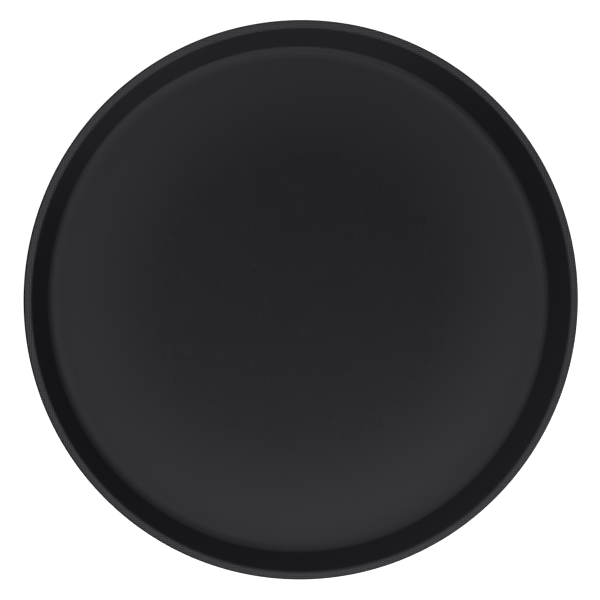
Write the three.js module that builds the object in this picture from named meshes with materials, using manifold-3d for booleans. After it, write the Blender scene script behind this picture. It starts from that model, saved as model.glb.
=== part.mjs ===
// Round serving tray, 14 inch size. A moulded shell of glass-reinforced resin carries a bonded
// non-skid skin over its floor, wall and rim, and a steel hoop lies inside the rim bead.
//
// Millimetres, +Z up. The origin is the centre of the foot ring's plane, on the tray's axis.
// All three pieces are turned about that axis, so each is drawn as half of its cross-section.

import * as THREE from 'three';
import { mergeVertices } from 'three/addons/utils/BufferGeometryUtils.js';
import Module from 'manifold-3d';

// ---- Driving dimensions ----

const OUTER_RADIUS = 177.8;
const HEIGHT = 25.4;

const FLOOR_RADIUS = 158; // the flat serving surface, up to where its edge starts to rise
const FILLET_RADIUS = 6; // between the floor and the wall, on the top surface
const WALL_ANGLE = THREE.MathUtils.degToRad(63); // above the floor's plane
const CREST_RADIUS = 2; // where the wall rolls over into the rim, on the top surface
const RIM_SLOPE = THREE.MathUtils.degToRad(9); // the rim falls outwards

const SKIN_THICKNESS = 0.7;
const BOND_GAP = 0.3; // clearance that keeps the skin and the shell separate solids
const SHELL_THICKNESS = 2.2;

const FOOT_HEIGHT = 0.6;
const FOOT_INNER_RADIUS = 148;
const FOOT_OUTER_RADIUS = 154;
const FOOT_FLANK = 0.8; // run of each sloping side of the foot ring

const BEAD_DEPTH = 6.4; // from the crest of the rim down to the underside of its bead
const EDGE_ROUNDING = 0.8; // corners of the rim's outer edge
const SKIN_EDGE_INSET = 0.8; // the skin stops this far inside the shell's outer edge

const WIRE_RADIUS = 1.2;
const WIRE_CLEARANCE = 0.3;
const WIRE_CENTRE_RADIUS = 175.3;
const WIRE_CENTRE_DEPTH = 3.8; // below the crest of the rim

const WINDOW_COUNT = 12; // small holes under the bead, left by the pins that hold the hoop in the mould
const WINDOW_RADIUS = 1;
const WINDOW_SIDES = 12;

const TURN_SEGMENTS = 72;
const FILLET_STEPS = 6;
const CREST_STEPS = 4;
const CORNER_STEPS = 2;
const WIRE_SIDES = 8;

// ---- Dimensions worked out from those ----

const SHELL_DEPTH = SKIN_THICKNESS + BOND_GAP; // of the shell's upper surface below the skin's
const UNDERSIDE_DEPTH = SHELL_DEPTH + SHELL_THICKNESS;
const FLOOR_TOP = FOOT_HEIGHT + UNDERSIDE_DEPTH;
const BEAD_UNDERSIDE = HEIGHT - BEAD_DEPTH;

const ROUNDED_RISE = (FILLET_RADIUS + CREST_RADIUS) * (1 - Math.cos(WALL_ANGLE));
const WALL_LENGTH = (HEIGHT - FLOOR_TOP - ROUNDED_RISE) / Math.sin(WALL_ANGLE);

const FILLET_CENTRE = new THREE.Vector2(FLOOR_RADIUS, FLOOR_TOP + FILLET_RADIUS);
const CREST_CENTRE = new THREE.Vector2(
  FLOOR_RADIUS
    + (FILLET_RADIUS + CREST_RADIUS) * Math.sin(WALL_ANGLE)
    + WALL_LENGTH * Math.cos(WALL_ANGLE),
  HEIGHT - CREST_RADIUS,
);

// Directions in the cross-section, as angles from the outward radius towards +Z.
const DOWN = -Math.PI / 2;
const OUT = 0;
const UP = Math.PI / 2;

// ---- Cross-sections: x is the radius and y is the height ----

/** Points along a circular arc, both ends included. */
function arc(centre, radius, from, to, steps) {
  const points = [];
  for (let i = 0; i <= steps; i += 1) {
    const angle = THREE.MathUtils.lerp(from, to, i / steps);
    points.push(new THREE.Vector2(Math.cos(angle), Math.sin(angle)).multiplyScalar(radius).add(centre));
  }
  return points;
}

/** The floor's edge rounding up into the wall, at a depth under the top surface. */
function fillet(depth) {
  return arc(FILLET_CENTRE, FILLET_RADIUS + depth, DOWN, DOWN + WALL_ANGLE, FILLET_STEPS);
}

/** The wall rolling over its highest point into the sloping rim, at a depth under the top surface. */
function crest(depth) {
  const radius = CREST_RADIUS - depth;
  const rise = arc(CREST_CENTRE, radius, UP + WALL_ANGLE, UP, CREST_STEPS);
  const fall = arc(CREST_CENTRE, radius, UP, UP - RIM_SLOPE, 1);
  return [...rise, fall.at(-1)];
}

/** Height of the sloping rim at a radius, at a depth under the top surface. */
function rimHeight(depth, radius) {
  const slopeTop = CREST_CENTRE.y + (CREST_RADIUS - depth) / Math.cos(RIM_SLOPE);
  return slopeTop - (radius - CREST_CENTRE.x) * Math.tan(RIM_SLOPE);
}

/** The rim rounding over into its outer edge, from the sloping top to the vertical face. */
function rimCorner(depth, edgeRadius, rounding) {
  const x = edgeRadius - rounding;
  const centre = new THREE.Vector2(x, rimHeight(depth, x) - rounding / Math.cos(RIM_SLOPE));
  return arc(centre, rounding, UP - RIM_SLOPE, OUT, CORNER_STEPS);
}

/** The upper line of a layer, from the tray's axis out over the floor, wall and rim. */
function upperLine(depth, edgeRadius, rounding) {
  return [
    new THREE.Vector2(0, FLOOR_TOP - depth),
    ...fillet(depth),
    ...crest(depth),
    ...rimCorner(depth, edgeRadius, rounding),
  ];
}

/** The foot ring's outline, outwards across the underside of the floor. */
function footRing() {
  return [
    new THREE.Vector2(FOOT_INNER_RADIUS, FOOT_HEIGHT),
    new THREE.Vector2(FOOT_INNER_RADIUS + FOOT_FLANK, 0),
    new THREE.Vector2(FOOT_OUTER_RADIUS - FOOT_FLANK, 0),
    new THREE.Vector2(FOOT_OUTER_RADIUS, FOOT_HEIGHT),
  ];
}

/** Where the underside of the wall meets the underside of the rim bead. */
function beadRoot() {
  const wallFoot = fillet(UNDERSIDE_DEPTH).at(-1);
  const run = (BEAD_UNDERSIDE - wallFoot.y) / Math.tan(WALL_ANGLE);
  return new THREE.Vector2(wallFoot.x + run, BEAD_UNDERSIDE);
}

/** The skin's section: its underside outwards, its edge, then its top surface back to the axis. */
function skinSection() {
  const edge = OUTER_RADIUS - SKIN_EDGE_INSET;
  const underside = [
    new THREE.Vector2(0, FLOOR_TOP - SKIN_THICKNESS),
    ...fillet(SKIN_THICKNESS),
    ...crest(SKIN_THICKNESS),
    new THREE.Vector2(edge, rimHeight(SKIN_THICKNESS, edge)),
  ];
  return [...underside, ...upperLine(0, edge, SKIN_THICKNESS / 2).reverse()];
}

/** The shell's section: its underside outwards, the bead, then its upper surface back to the axis. */
function shellSection() {
  const lowerCorner = new THREE.Vector2(OUTER_RADIUS - EDGE_ROUNDING, BEAD_UNDERSIDE + EDGE_ROUNDING);
  const underside = [
    new THREE.Vector2(0, FOOT_HEIGHT),
    ...footRing(),
    ...fillet(UNDERSIDE_DEPTH),
    beadRoot(),
    ...arc(lowerCorner, EDGE_ROUNDING, DOWN, OUT, CORNER_STEPS),
  ];
  return [...underside, ...upperLine(SHELL_DEPTH, OUTER_RADIUS, EDGE_ROUNDING).reverse()];
}

/** A round section about the hoop's centre line, as a loop that closes on itself. */
function hoopSection(radius) {
  const centre = new THREE.Vector2(WIRE_CENTRE_RADIUS, HEIGHT - WIRE_CENTRE_DEPTH);
  const loop = arc(centre, radius, 0, 2 * Math.PI, WIRE_SIDES);
  loop[WIRE_SIDES] = loop[0].clone();
  return loop;
}

/** Turns a section about the tray's axis. */
function turned(section) {
  return new THREE.LatheGeometry(section, TURN_SEGMENTS).rotateX(Math.PI / 2);
}

// ---- Booleans ----

const wasm = await Module();
wasm.setup();

/** A closed geometry as a solid that can be joined and cut. */
function toSolid(geometry) {
  const bare = geometry.clone();
  bare.deleteAttribute('normal');
  bare.deleteAttribute('uv');
  const merged = mergeVertices(bare);
  return new wasm.Manifold(new wasm.Mesh({
    numProp: 3,
    vertProperties: new Float32Array(merged.attributes.position.array),
    triVerts: new Uint32Array(merged.index.array),
  }));
}

/** A solid back as a geometry, with flat shading's normals. */
function toGeometry(solid) {
  const mesh = solid.getMesh();
  const geometry = new THREE.BufferGeometry();
  geometry.setAttribute('position', new THREE.BufferAttribute(mesh.vertProperties, 3));
  geometry.setIndex(new THREE.BufferAttribute(mesh.triVerts, 1));
  geometry.computeVertexNormals();
  return geometry;
}

// ---- Pieces ----

/** A vertical hole from below the bead up into the hoop's channel. */
function pinWindow(index) {
  const top = HEIGHT - WIRE_CENTRE_DEPTH;
  const bottom = BEAD_UNDERSIDE - BEAD_DEPTH;
  const angle = ((index + 0.5) / WINDOW_COUNT) * 2 * Math.PI;
  return new THREE.CylinderGeometry(WINDOW_RADIUS, WINDOW_RADIUS, top - bottom, WINDOW_SIDES)
    .rotateX(Math.PI / 2)
    .translate(WIRE_CENTRE_RADIUS, 0, (top + bottom) / 2)
    .rotateZ(angle);
}

/** The shell, with the hoop's channel through its bead and the windows that open it below. */
function trayShell() {
  let solid = toSolid(turned(shellSection()));
  solid = solid.subtract(toSolid(turned(hoopSection(WIRE_RADIUS + WIRE_CLEARANCE))));
  for (let i = 0; i < WINDOW_COUNT; i += 1) {
    solid = solid.subtract(toSolid(pinWindow(i)));
  }
  return toGeometry(solid);
}

function nonskidSkin() {
  return turned(skinSection());
}

function rimWire() {
  return turned(hoopSection(WIRE_RADIUS));
}

// ---- Assembly ----

const MOULDED_RESIN = { color: 0x1c1d1f, roughness: 0.55, metalness: 0 };
const NONSKID_RUBBER = { color: 0x26272a, roughness: 0.7, metalness: 0 };
const GALVANISED_STEEL = { color: 0x9a9da0, roughness: 0.4, metalness: 1 };

function piece(name, geometry, look) {
  const mesh = new THREE.Mesh(geometry, new THREE.MeshStandardMaterial(look));
  mesh.name = name;
  return mesh;
}

const tray = new THREE.Group();
tray.add(
  piece('tray_shell', trayShell(), MOULDED_RESIN),
  piece('nonskid_skin', nonskidSkin(), NONSKID_RUBBER),
  piece('rim_wire', rimWire(), GALVANISED_STEEL),
);

export default tray;
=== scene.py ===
"""Looks of a round non-skid serving tray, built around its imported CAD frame.

Everything is in metres, in the part's frame: +Z up, with the origin in the foot ring's plane on
the tray's axis. Each piece is turned about that axis from half of its cross-section, finely
enough to look round, and has a procedural material.
"""

import math

import bmesh
import bpy
from mathutils import Matrix, Vector


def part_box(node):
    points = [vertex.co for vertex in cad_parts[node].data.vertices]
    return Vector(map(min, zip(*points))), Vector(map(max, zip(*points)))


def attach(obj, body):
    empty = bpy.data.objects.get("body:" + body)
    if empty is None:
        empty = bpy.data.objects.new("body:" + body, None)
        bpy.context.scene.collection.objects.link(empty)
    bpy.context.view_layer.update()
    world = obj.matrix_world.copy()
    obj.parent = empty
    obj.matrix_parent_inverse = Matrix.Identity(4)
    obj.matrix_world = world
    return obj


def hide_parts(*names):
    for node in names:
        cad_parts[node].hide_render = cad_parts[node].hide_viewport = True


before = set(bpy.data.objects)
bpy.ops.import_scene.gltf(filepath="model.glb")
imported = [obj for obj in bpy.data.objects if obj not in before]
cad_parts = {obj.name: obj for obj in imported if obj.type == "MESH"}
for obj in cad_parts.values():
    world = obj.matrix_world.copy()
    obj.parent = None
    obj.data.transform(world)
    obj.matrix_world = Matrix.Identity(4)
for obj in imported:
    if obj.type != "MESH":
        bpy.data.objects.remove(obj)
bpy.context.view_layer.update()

MM = 0.001

# ---- Sizes, from the frame where it has them ----

SHELL_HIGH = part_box("tray_shell")[1]
SKIN_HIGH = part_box("nonskid_skin")[1]
WIRE_LOW, WIRE_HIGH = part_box("rim_wire")

OUTER_RADIUS = SHELL_HIGH.x
HEIGHT = SKIN_HIGH.z
SKIN_EDGE = SKIN_HIGH.x

FLOOR_RADIUS = 158 * MM
FILLET_RADIUS = 6 * MM
WALL_ANGLE = math.radians(63)
CREST_RADIUS = 2 * MM
RIM_SLOPE = math.radians(9)

SKIN_THICKNESS = 0.7 * MM
FLOOR_TOP = 3.8 * MM
FOOT_HEIGHT = 0.6 * MM
UNDERSIDE_DEPTH = FLOOR_TOP - FOOT_HEIGHT
BOND_LINE = 0.02 * MM  # between the skin and the shell, which look as one

FOOT_INNER = 148 * MM
FOOT_OUTER = 154 * MM
FOOT_FLANK = 0.8 * MM

BEAD_UNDERSIDE = HEIGHT - 6.4 * MM
EDGE_ROUNDING = 0.8 * MM
BEAD_ROOT_ROUNDING = 0.6 * MM
SMALL_ROUNDING = 0.15 * MM

WIRE_RADIUS = (WIRE_HIGH.z - WIRE_LOW.z) / 2
WIRE_CENTRE = Vector((WIRE_HIGH.x - WIRE_RADIUS, (WIRE_HIGH.z + WIRE_LOW.z) / 2))
WIRE_CLEARANCE = 0.3 * MM
WINDOW_COUNT = 12
WINDOW_RADIUS = 1 * MM
CUTTER_OVERRUN = 1 * MM  # of a window's cutter below the bead

TURN_SEGMENTS = 360
ARC_STEP = math.radians(6)
FLOOR_RINGS = 12  # steps across the flat floor, which keep its faces even
WINDOW_SIDES = 24

# Directions in a cross-section, as angles from the outward radius towards +Z.
DOWN = -math.pi / 2
OUT = 0.0
UP = math.pi / 2

# ---- Looks ----

NOISE_RANGE = (0.3, 0.7)  # most of a noise's values lie in it

WEAVE_PITCH = 1.3 * MM
WEAVE_DEPTH = 0.08 * MM
WEAVE_ON_FLOOR = 0.3  # of its full depth, which it reaches at the rim
WEAVE_CROSSING = 0.2  # how gently one thread gives way to the other where they cross
THREAD_TOP = (0.5, 0.9)  # heights in the weave between which a thread on the rim turns pale, as painted highlight and rubbed wear
WEAR_START = 80 * MM  # the floor is worn smoothest within this radius
WEAR_END = 170 * MM  # and isn't worn beyond this one
UNWIPED_RUN = 3 * MM  # over this run, the floor's edge turns as dull as the wall
RIM_HIGHLIGHT_RUN = 1 * MM  # over this run, the wall's top gets the rim's painted highlight and rubbed wear
WORN_ROUGHNESS = (0.265, 0.275)
UNWORN_ROUGHNESS = 0.08  # added to the worn floor's
UNWIPED_ROUGHNESS = 0.15  # added to that
RUBBER_DARK = (0.0040, 0.0042, 0.0045, 1)
RUBBER_LIGHT = (0.0055, 0.0058, 0.0062, 1)
# Painted highlight on the tops of the rim's threads, partly rubbed wear.
THREAD_HIGHLIGHT_AND_WEAR = (0.075, 0.075, 0.075, 1)

STRAND_WAYS = 5  # directions that the glass mat's strands run in
STRAND_LENGTH = 14 * MM
STRAND_SPACING = 1.6 * MM
STRAND_SHARE = 0.035  # of the noise's range, on either side of its middle
SHADED_TRIM_START = 1.6 * MM  # inside the outer edge, where its matt trimmed band, painted darker as painted shade, fades in
SHADED_TRIM_FULL = 0.9 * MM  # inside the outer edge, where that band is fully matt and fully darkened by painted shade
RESIN_ROUGHNESS = (0.36, 0.5)
TRIM_ROUGHNESS = 0.4  # added to the resin's
RESIN_DARK = (0.012, 0.012, 0.012, 1)
RESIN_LIGHT = (0.018, 0.018, 0.018, 1)
GLASS_FIBRE = (0.035, 0.035, 0.035, 1)
# Painted shade along the outer edge, where it turns down.
SHADED_EDGE_RESIN = (0.006, 0.006, 0.006, 1)

ZINC_ROUGHNESS = (0.3, 0.5)
ZINC_DARK = (0.42, 0.43, 0.45, 1)
ZINC_LIGHT = (0.6, 0.61, 0.62, 1)

PAPER = (0.9, 0.9, 0.9, 1)
PAPER_GLOW = 0.8  # keeps the paper white where the tent lights it least
PAPER_HALF = 40.0  # metres, so that its edge is close to the horizon in a low view

# ---- Light ----

LIGHT_COLOUR = (0.97, 0.98, 1.06, 1)
TENT_LOW = 0.38  # the tent's brightness near the horizon
TENT_HIGH = 1.65  # and overhead
TENT_RISE = (0.85, 0.99)  # heights on a unit sphere between which the tent brightens
TENT_EDGE = (-0.06, -0.02)  # heights between which it ends, just below the horizon
BACK_AZIMUTH = 120  # the tent is brightest towards this side
BACK_EXCESS = 0.9  # by this share, and as much darker on the opposite side
# Round patches of the tent: azimuth, lean, radius and softness of the edge, in degrees. A glow
# also has a brightness, which is added to the tent's own.
OPENING = (2, 9.5, 16, 2)
GLOWS = [
    ((-34, 18, 12, 6), 5.2),
    ((-48, 72, 18, 9), 1.6),
    ((-92, 72, 18, 9), 1.4),
]

# ---- Camera ----

CAMERA_DISTANCE = 1.3
CAMERA_TILT = 8.0  # degrees off the tray's axis
CAMERA_AZIMUTH = 168.0  # the side that it leans to
SENSOR = 36 * MM
RIM_SHARE = 0.9348  # the rim's diameter over the picture's width
FRAMING = Vector((-0.7, -0.1, 0)) * MM  # the tray isn't quite in the middle of the picture

# ---- Cross-sections: x is the radius and y is the height ----


def arc(centre, radius, start, end):
    """Points along a circular arc, both ends included, one every few degrees."""
    steps = max(2, round(abs(end - start) / ARC_STEP))
    angles = [start + (end - start) * i / steps for i in range(steps + 1)]
    return [centre + radius * Vector((math.cos(a), math.sin(a))) for a in angles]


def rounded(corner, before, after, radius):
    """A corner between two straight lines, replaced by an arc that touches both."""
    to_before = (before - corner).normalized()
    to_after = (after - corner).normalized()
    half = to_before.angle(to_after) / 2
    centre = corner + (to_before + to_after).normalized() * radius / math.sin(half)
    reach = radius / math.tan(half)
    first = corner + to_before * reach - centre
    last = corner + to_after * reach - centre
    start = math.atan2(first.y, first.x)
    turn = (math.atan2(last.y, last.x) - start + math.pi) % (2 * math.pi) - math.pi
    return arc(centre, radius, start, start + turn)


FILLET_CENTRE = Vector((FLOOR_RADIUS, FLOOR_TOP + FILLET_RADIUS))
ROUNDED_RISE = (FILLET_RADIUS + CREST_RADIUS) * (1 - math.cos(WALL_ANGLE))
WALL_LENGTH = (HEIGHT - FLOOR_TOP - ROUNDED_RISE) / math.sin(WALL_ANGLE)
CREST_CENTRE = Vector(
    (
        FLOOR_RADIUS
        + (FILLET_RADIUS + CREST_RADIUS) * math.sin(WALL_ANGLE)
        + WALL_LENGTH * math.cos(WALL_ANGLE),
        HEIGHT - CREST_RADIUS,
    )
)


def fillet(depth):
    """The floor's edge rounding up into the wall, at a depth under the top surface."""
    return arc(FILLET_CENTRE, FILLET_RADIUS + depth, DOWN, DOWN + WALL_ANGLE)


def crest(depth):
    """The wall rolling over into the sloping rim, at a depth under the top surface."""
    return arc(CREST_CENTRE, CREST_RADIUS - depth, UP + WALL_ANGLE, UP - RIM_SLOPE)


def rim_height(depth, radius):
    """Height of the sloping rim at a radius, at a depth under the top surface."""
    slope_top = CREST_CENTRE.y + (CREST_RADIUS - depth) / math.cos(RIM_SLOPE)
    return slope_top - (radius - CREST_CENTRE.x) * math.tan(RIM_SLOPE)


def rim_corner(depth, edge, rounding):
    """The rim rounding over into its outer edge, from the sloping top to the vertical face."""
    x = edge - rounding
    centre = Vector((x, rim_height(depth, x) - rounding / math.cos(RIM_SLOPE)))
    return arc(centre, rounding, UP - RIM_SLOPE, OUT)


def floor_rings(height, edge):
    """Points across the flat floor, outwards, without its middle and its edge."""
    return [Vector((edge * i / FLOOR_RINGS, height)) for i in range(1, FLOOR_RINGS)]


def skin_section():
    """The skin's underside outwards, its cut edge, then its top surface back towards the axis."""
    low_edge = Vector((SKIN_EDGE, rim_height(SKIN_THICKNESS, SKIN_EDGE)))
    under = floor_rings(FLOOR_TOP - SKIN_THICKNESS, FLOOR_RADIUS)
    under += fillet(SKIN_THICKNESS) + crest(SKIN_THICKNESS)
    above = Vector((SKIN_EDGE, HEIGHT))
    under += rounded(low_edge, under[-1], above, SMALL_ROUNDING)
    top = floor_rings(FLOOR_TOP, FLOOR_RADIUS) + fillet(0) + crest(0)
    top += rim_corner(0, SKIN_EDGE, SKIN_THICKNESS / 2)
    return under + top[::-1]


def foot_ring():
    """The foot ring's outline across the underside of the floor, with its edges eased."""
    corners = [
        Vector((FOOT_INNER, FOOT_HEIGHT)),
        Vector((FOOT_INNER + FOOT_FLANK, 0)),
        Vector((FOOT_OUTER - FOOT_FLANK, 0)),
        Vector((FOOT_OUTER, FOOT_HEIGHT)),
    ]
    before = Vector((0, FOOT_HEIGHT))
    after = Vector((FLOOR_RADIUS, FOOT_HEIGHT))
    line = [before, *corners, after]
    points = []
    for i in range(1, len(line) - 1):
        points += rounded(line[i], line[i - 1], line[i + 1], SMALL_ROUNDING)
    return points


def shell_section():
    """The shell's underside outwards, the bead, then its upper surface back towards the axis."""
    depth = SKIN_THICKNESS + BOND_LINE
    wall_foot = fillet(UNDERSIDE_DEPTH)[-1]
    run = (BEAD_UNDERSIDE - wall_foot.y) / math.tan(WALL_ANGLE)
    root = Vector((wall_foot.x + run, BEAD_UNDERSIDE))
    outer = Vector((OUTER_RADIUS, BEAD_UNDERSIDE))
    above = Vector((OUTER_RADIUS, HEIGHT))
    under = floor_rings(FOOT_HEIGHT, FOOT_INNER) + foot_ring() + fillet(UNDERSIDE_DEPTH)
    under += rounded(root, wall_foot, outer, BEAD_ROOT_ROUNDING)
    under += rounded(outer, root, above, EDGE_ROUNDING)
    top = floor_rings(FLOOR_TOP - depth, FLOOR_RADIUS) + fillet(depth) + crest(depth)
    top += rim_corner(depth, OUTER_RADIUS, EDGE_ROUNDING)
    return under + top[::-1]


def hoop_section(radius):
    """A round section about the hoop's centre line, without its repeated last point."""
    return arc(WIRE_CENTRE, radius, 0, 2 * math.pi)[:-1]


# ---- Meshes ----


def turned(name, section, closes):
    """A piece turned about the axis. A section that doesn't close on itself gets both its ends
    joined to the axis."""
    mesh = bmesh.new()
    rings = []
    for point in section:
        ring = []
        for i in range(TURN_SEGMENTS):
            a = 2 * math.pi * i / TURN_SEGMENTS
            ring.append(mesh.verts.new((point.x * math.cos(a), point.x * math.sin(a), point.y)))
        rings.append(ring)
    spans = list(zip(rings, rings[1:]))
    if closes:
        spans.append((rings[-1], rings[0]))
    for inner, outer in spans:
        for i in range(TURN_SEGMENTS):
            j = (i + 1) % TURN_SEGMENTS
            mesh.faces.new((inner[i], inner[j], outer[j], outer[i]))
    if not closes:
        close_on_axis(mesh, rings[0], section[0].y)
        close_on_axis(mesh, rings[-1][::-1], section[-1].y)
    bmesh.ops.recalc_face_normals(mesh, faces=mesh.faces)
    for face in mesh.faces:
        face.smooth = True
    data = bpy.data.meshes.new(name)
    mesh.to_mesh(data)
    mesh.free()
    piece = bpy.data.objects.new(name, data)
    bpy.context.scene.collection.objects.link(piece)
    return piece


def close_on_axis(mesh, ring, height):
    """A fan of faces from a ring to a point on the axis."""
    middle = mesh.verts.new((0, 0, height))
    for i, vertex in enumerate(ring):
        mesh.faces.new((middle, ring[(i + 1) % len(ring)], vertex))


def cut(piece, tool):
    """Cuts a tool's shape out of a piece and removes the tool."""
    boolean = piece.modifiers.new("cut", "BOOLEAN")
    boolean.operation = "DIFFERENCE"
    boolean.solver = "EXACT"
    boolean.object = tool
    bpy.context.view_layer.update()
    evaluated = piece.evaluated_get(bpy.context.evaluated_depsgraph_get())
    result = bpy.data.meshes.new_from_object(evaluated)
    piece.modifiers.clear()
    piece.data = result
    bpy.data.objects.remove(tool)


def window_cutters():
    """The windows' round cutters, one under each stretch of the hoop."""
    mesh = bmesh.new()
    bottom = BEAD_UNDERSIDE - CUTTER_OVERRUN
    depth = WIRE_CENTRE.y - bottom
    for i in range(WINDOW_COUNT):
        angle = 2 * math.pi * (i + 0.5) / WINDOW_COUNT
        made = bmesh.ops.create_cone(
            mesh,
            cap_ends=True,
            segments=WINDOW_SIDES,
            radius1=WINDOW_RADIUS,
            radius2=WINDOW_RADIUS,
            depth=depth,
        )
        place = Vector((math.cos(angle), math.sin(angle), 0)) * WIRE_CENTRE.x
        place.z = bottom + depth / 2
        bmesh.ops.translate(mesh, verts=made["verts"], vec=place)
    data = bpy.data.meshes.new("window_cutters")
    mesh.to_mesh(data)
    mesh.free()
    tool = bpy.data.objects.new("window_cutters", data)
    bpy.context.scene.collection.objects.link(tool)
    return tool


# ---- Materials ----


def direction(azimuth, lean):
    """A unit vector that leans from straight up towards an azimuth, both in degrees. Azimuth 0
    is +X and 90 is +Y."""
    a = math.radians(azimuth)
    t = math.radians(lean)
    return Vector((math.sin(t) * math.cos(a), math.sin(t) * math.sin(a), math.cos(t)))


class Nodes:
    """Short calls for making the nodes of a material or a world."""

    def __init__(self, owner, shader="Principled BSDF", coordinates="Object"):
        owner.use_nodes = True
        self.owner = owner
        self.tree = owner.node_tree
        self.shader = self.tree.nodes[shader]
        self.place = self.tree.nodes.new("ShaderNodeTexCoord").outputs[coordinates]

    def fill(self, socket, value):
        """Links an output socket into an input, or sets a plain value on it."""
        if isinstance(value, bpy.types.NodeSocket):
            self.tree.links.new(value, socket)
        else:
            socket.default_value = value

    def maths(self, operation, *values):
        node = self.tree.nodes.new("ShaderNodeMath")
        node.operation = operation
        for socket, value in zip(node.inputs, values):
            self.fill(socket, value)
        return node.outputs[0]

    def noise(self, size, detail=2.0, roughness=0.5):
        """Noise whose features are about `size` metres across, from 0 to 1."""
        node = self.tree.nodes.new("ShaderNodeTexNoise")
        self.fill(node.inputs["Vector"], self.place)
        node.inputs["Scale"].default_value = 1 / size
        node.inputs["Detail"].default_value = detail
        node.inputs["Roughness"].default_value = roughness
        return node.outputs["Fac"]

    def cells(self, size):
        """A random value for each cell around points about `size` metres apart."""
        node = self.tree.nodes.new("ShaderNodeTexVoronoi")
        self.fill(node.inputs["Vector"], self.place)
        node.inputs["Scale"].default_value = 1 / size
        split = self.tree.nodes.new("ShaderNodeSeparateColor")
        self.fill(split.inputs[0], node.outputs["Color"])
        return split.outputs[0]

    def spread(self, value, low, high, start=0.0, end=1.0, kind="LINEAR"):
        """Maps the range from start to end onto the range from low to high, and clamps it."""
        node = self.tree.nodes.new("ShaderNodeMapRange")
        node.interpolation_type = kind
        node.clamp = True
        self.fill(node.inputs["Value"], value)
        node.inputs["From Min"].default_value = start
        node.inputs["From Max"].default_value = end
        node.inputs["To Min"].default_value = low
        node.inputs["To Max"].default_value = high
        return node.outputs["Result"]

    def blend(self, share, first, second):
        """A colour between two, by a share from 0 to 1."""
        node = self.tree.nodes.new("ShaderNodeMix")
        node.data_type = "RGBA"
        names = {s.identifier: s for s in [*node.inputs, *node.outputs]}
        self.fill(names["Factor_Float"], share)
        self.fill(names["A_Color"], first)
        self.fill(names["B_Color"], second)
        return names["Result_Color"]

    def bump(self, height, distance, below=None):
        """Raised detail: a height from 0 to 1 stands `distance` metres proud."""
        node = self.tree.nodes.new("ShaderNodeBump")
        node.inputs["Distance"].default_value = distance
        self.fill(node.inputs["Height"], height)
        if below is not None:
            self.fill(node.inputs["Normal"], below)
        return node.outputs["Normal"]

    def towards(self, way):
        """Cosine of the angle between the place, taken as a direction, and a unit vector."""
        node = self.tree.nodes.new("ShaderNodeVectorMath")
        node.operation = "DOT_PRODUCT"
        self.fill(node.inputs[0], self.place)
        node.inputs[1].default_value = way
        return node.outputs["Value"]

    def glow(self, azimuth, lean, radius, softness):
        """A round patch of the sky, 1 inside and 0 outside, with a soft edge."""
        inner = math.cos(math.radians(radius - softness))
        outer = math.cos(math.radians(radius + softness))
        around = self.towards(direction(azimuth, lean))
        return self.spread(around, 0.0, 1.0, outer, inner, kind="SMOOTHSTEP")

    def axes(self):
        """The place's X, Y and Z."""
        split = self.tree.nodes.new("ShaderNodeSeparateXYZ")
        self.fill(split.inputs[0], self.place)
        return split.outputs

    def radius(self):
        """Distance from the tray's axis."""
        x, y, _ = self.axes()
        across = self.maths("MULTIPLY", x, x)
        along = self.maths("MULTIPLY", y, y)
        return self.maths("SQRT", self.maths("ADD", across, along))

    def weave(self, pitch):
        """Height of a plain weave, from 0 to 1, whose threads run along X and Y, `pitch` apart."""
        x, y, _ = self.axes()
        across = self.maths("SINE", self.maths("MULTIPLY", x, math.pi / pitch))
        along = self.maths("SINE", self.maths("MULTIPLY", y, math.pi / pitch))
        crossing = self.maths("MULTIPLY", across, along)
        over = self.spread(crossing, 0.0, 1.0, -WEAVE_CROSSING, WEAVE_CROSSING)
        warp = self.maths("ABSOLUTE", across)
        weft = self.maths("ABSOLUTE", along)
        lift = self.maths("MULTIPLY", over, self.maths("SUBTRACT", warp, weft))
        top = self.maths("ADD", weft, lift)
        crown = self.maths("ABSOLUTE", crossing)
        return self.maths("MULTIPLY", self.maths("ADD", top, crown), 0.5)

    def strands(self, angle, length, spacing):
        """Thin wandering lines that run mostly one way, as 1, with 0 between them."""
        turn = self.tree.nodes.new("ShaderNodeMapping")
        self.fill(turn.inputs["Vector"], self.place)
        turn.inputs["Rotation"].default_value = (0, 0, angle)
        turn.inputs["Scale"].default_value = (1 / length, 1 / spacing, 1 / spacing)
        node = self.tree.nodes.new("ShaderNodeTexNoise")
        self.fill(node.inputs["Vector"], turn.outputs["Vector"])
        node.inputs["Scale"].default_value = 1.0
        node.inputs["Detail"].default_value = 0.0
        contour = self.maths("ABSOLUTE", self.maths("SUBTRACT", node.outputs["Fac"], 0.5))
        return self.spread(contour, 1.0, 0.0, 0.0, STRAND_SHARE)


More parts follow.
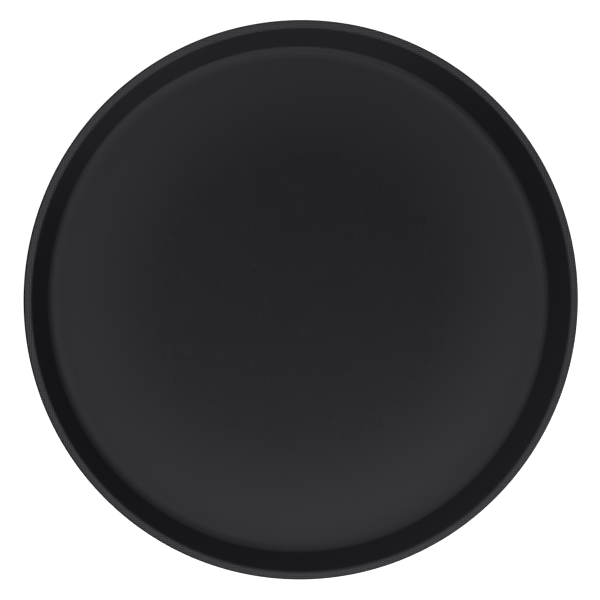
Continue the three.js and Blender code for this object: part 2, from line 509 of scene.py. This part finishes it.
def nonskid_rubber():
    """Black rubber with a fine linen emboss, pressed in by the mould's cloth. The floor is worn
    smooth in its middle, and the tops of the threads on the rim are painted paler, as painted
    highlight and rubbed wear."""
    n = Nodes(bpy.data.materials.new("nonskid_rubber"))
    radius = n.radius()
    threads = n.weave(WEAVE_PITCH)
    grain = n.noise(0.25 * MM, detail=3.0)
    clouds = n.noise(40 * MM, detail=3.0)

    tone = n.maths("ADD", n.spread(clouds, 0.0, 0.6), n.spread(grain, 0.0, 0.4))
    rubber = n.blend(tone, RUBBER_DARK, RUBBER_LIGHT)
    # Painted highlight, partly rubbed wear: the tops of the threads on the rim are painted paler.
    on_rim = n.spread(radius, 0.0, 1.0, CREST_CENTRE.x - RIM_HIGHLIGHT_RUN, CREST_CENTRE.x)
    highlit_and_rubbed = n.maths("MULTIPLY", on_rim, n.spread(threads, 0.0, 1.0, *THREAD_TOP))
    n.fill(n.shader.inputs["Base Color"], n.blend(highlit_and_rubbed, rubber, THREAD_HIGHLIGHT_AND_WEAR))

    scuffs = n.spread(n.noise(6 * MM), *WORN_ROUGHNESS, *NOISE_RANGE)
    wear = n.spread(radius, 0.0, UNWORN_ROUGHNESS, WEAR_START, WEAR_END, kind="SMOOTHSTEP")
    wiped = FLOOR_RADIUS - UNWIPED_RUN
    dullness = n.maths("ADD", wear, n.spread(radius, 0.0, UNWIPED_ROUGHNESS, wiped, FLOOR_RADIUS))
    n.fill(n.shader.inputs["Roughness"], n.maths("ADD", scuffs, dullness))
    n.shader.inputs["Specular IOR Level"].default_value = 0.5

    pressed = n.spread(radius, WEAVE_ON_FLOOR, 1.0, FLOOR_RADIUS, CREST_CENTRE.x)
    weave = n.maths("MULTIPLY", threads, pressed)
    fine = n.bump(grain, 0.006 * MM)
    n.fill(n.shader.inputs["Normal"], n.bump(weave, WEAVE_DEPTH, below=fine))
    return n.owner


def moulded_resin():
    """Black glass-reinforced resin, with the glass mat showing faintly through its skin, and a
    trimmed edge that is left matt and painted darker as painted shade."""
    n = Nodes(bpy.data.materials.new("moulded_resin"))
    mat = 0.0
    for i in range(STRAND_WAYS):
        way = n.strands(math.pi * i / STRAND_WAYS, STRAND_LENGTH, STRAND_SPACING)
        mat = n.maths("MAXIMUM", mat, way)
    grain = n.noise(0.5 * MM, detail=4.0)
    clouds = n.noise(30 * MM, detail=3.0)
    # Painted shade: a band along the outer edge is painted darker, and it is also left matt.
    shaded_trim = n.spread(n.radius(), 0.0, 1.0, OUTER_RADIUS - SHADED_TRIM_START, OUTER_RADIUS - SHADED_TRIM_FULL)

    body = n.blend(mat, n.blend(clouds, RESIN_DARK, RESIN_LIGHT), GLASS_FIBRE)
    n.fill(n.shader.inputs["Base Color"], n.blend(shaded_trim, body, SHADED_EDGE_RESIN))

    gloss = n.spread(grain, *RESIN_ROUGHNESS, *NOISE_RANGE)
    matt = n.maths("MULTIPLY", shaded_trim, TRIM_ROUGHNESS)
    n.fill(n.shader.inputs["Roughness"], n.maths("ADD", gloss, matt))
    n.shader.inputs["Specular IOR Level"].default_value = 0.25

    fine = n.bump(grain, 0.01 * MM)
    n.fill(n.shader.inputs["Normal"], n.bump(mat, 0.03 * MM, below=fine))
    return n.owner


def galvanised_steel():
    """Zinc-coated wire with a fine grain and a faint spangle."""
    n = Nodes(bpy.data.materials.new("galvanised_steel"))
    spangle = n.cells(1.5 * MM)
    grain = n.noise(0.2 * MM, detail=3.0)
    n.fill(n.shader.inputs["Base Color"], n.blend(spangle, ZINC_DARK, ZINC_LIGHT))
    n.shader.inputs["Metallic"].default_value = 1.0
    n.fill(n.shader.inputs["Roughness"], n.spread(grain, *ZINC_ROUGHNESS, *NOISE_RANGE))
    n.fill(n.shader.inputs["Normal"], n.bump(grain, 0.01 * MM))
    return n.owner


def studio_floor():
    """Matt white paper, with a little light of its own."""
    n = Nodes(bpy.data.materials.new("studio_floor"))
    n.shader.inputs["Base Color"].default_value = PAPER
    n.shader.inputs["Emission Color"].default_value = (1, 1, 1, 1)
    n.shader.inputs["Emission Strength"].default_value = PAPER_GLOW
    n.shader.inputs["Roughness"].default_value = 0.9
    n.shader.inputs["Specular IOR Level"].default_value = 0.1
    return n.owner


# ---- Pieces ----


def finish_piece(piece, node, material):
    """Dresses a piece and puts it in its CAD node's place."""
    piece.data.materials.clear()
    piece.data.materials.append(material)
    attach(piece, "root")
    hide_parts(node)


def make_skin():
    skin = turned("nonskid_skin_fine", skin_section(), closes=False)
    finish_piece(skin, "nonskid_skin", nonskid_rubber())


def make_shell():
    shell = turned("tray_shell_fine", shell_section(), closes=False)
    channel = turned("channel", hoop_section(WIRE_RADIUS + WIRE_CLEARANCE), closes=True)
    cut(shell, channel)
    cut(shell, window_cutters())
    finish_piece(shell, "tray_shell", moulded_resin())


def make_wire():
    wire = turned("rim_wire_fine", hoop_section(WIRE_RADIUS), closes=True)
    finish_piece(wire, "rim_wire", galvanised_steel())


# ---- Studio ----


def make_floor():
    mesh = bpy.data.meshes.new("studio_floor")
    half = PAPER_HALF
    corners = [(-half, -half, 0), (half, -half, 0), (half, half, 0), (-half, half, 0)]
    mesh.from_pydata(corners, [], [(0, 1, 2, 3)])
    floor = bpy.data.objects.new("studio_floor", mesh)
    floor.data.materials.append(studio_floor())
    bpy.context.scene.collection.objects.link(floor)
    floor.visible_glossy = False


def light_tent():
    """A white tent around the tray, brighter overhead and at the back, with a dark opening near
    its top and three broad lights at its front, one high up and two low down."""
    n = Nodes(bpy.data.worlds.new("light_tent"), "Background", "Generated")
    height = n.towards(Vector((0, 0, 1)))
    tone = n.spread(height, TENT_LOW, TENT_HIGH, *TENT_RISE, kind="SMOOTHSTEP")
    back = n.towards(direction(BACK_AZIMUTH, 90))
    tilt = n.spread(back, 1 - BACK_EXCESS, 1 + BACK_EXCESS, -1.0, 1.0)
    cloth = n.maths("MULTIPLY", tone, tilt)
    for place, brightness in GLOWS:
        cloth = n.maths("ADD", cloth, n.maths("MULTIPLY", n.glow(*place), brightness))
    cloth = n.maths("MULTIPLY", cloth, n.maths("SUBTRACT", 1.0, n.glow(*OPENING)))
    above = n.spread(height, 0.0, 1.0, *TENT_EDGE)
    n.fill(n.shader.inputs["Strength"], n.maths("MULTIPLY", cloth, above))
    n.shader.inputs["Color"].default_value = LIGHT_COLOUR
    bpy.context.scene.world = n.owner


def make_camera():
    """Looks down on the tray, a little from the left, with the rim filling the frame."""
    towards = direction(CAMERA_AZIMUTH, CAMERA_TILT)
    # Perspective enlarges the rim's near half, which moves its outline's middle off the axis.
    off_axis = OUTER_RADIUS**2 * math.sin(math.radians(CAMERA_TILT)) / CAMERA_DISTANCE
    middle = direction(CAMERA_AZIMUTH, 90) * off_axis + Vector((0, 0, HEIGHT))
    data = bpy.data.cameras.new("camera")
    data.sensor_width = SENSOR / MM
    data.lens = SENSOR / MM * CAMERA_DISTANCE * RIM_SHARE / (2 * OUTER_RADIUS)
    camera = bpy.data.objects.new("camera", data)
    camera.location = middle + FRAMING + towards * CAMERA_DISTANCE
    # +Y points up in the picture: the camera's own X and Y axes are built from it.
    side = Vector((0, 1, 0)).cross(towards).normalized()
    up = towards.cross(side)
    camera.rotation_mode = "QUATERNION"
    camera.rotation_quaternion = Matrix((side, up, towards)).transposed().to_quaternion()
    bpy.context.scene.collection.objects.link(camera)
    bpy.context.scene.camera = camera


def set_view():
    view = bpy.context.scene.view_settings
    view.view_transform = "Standard"
    view.look = "None"
    view.exposure = 0.0
    view.gamma = 1.0


make_skin()
make_shell()
make_wire()
make_floor()
light_tent()
make_camera()
set_view()
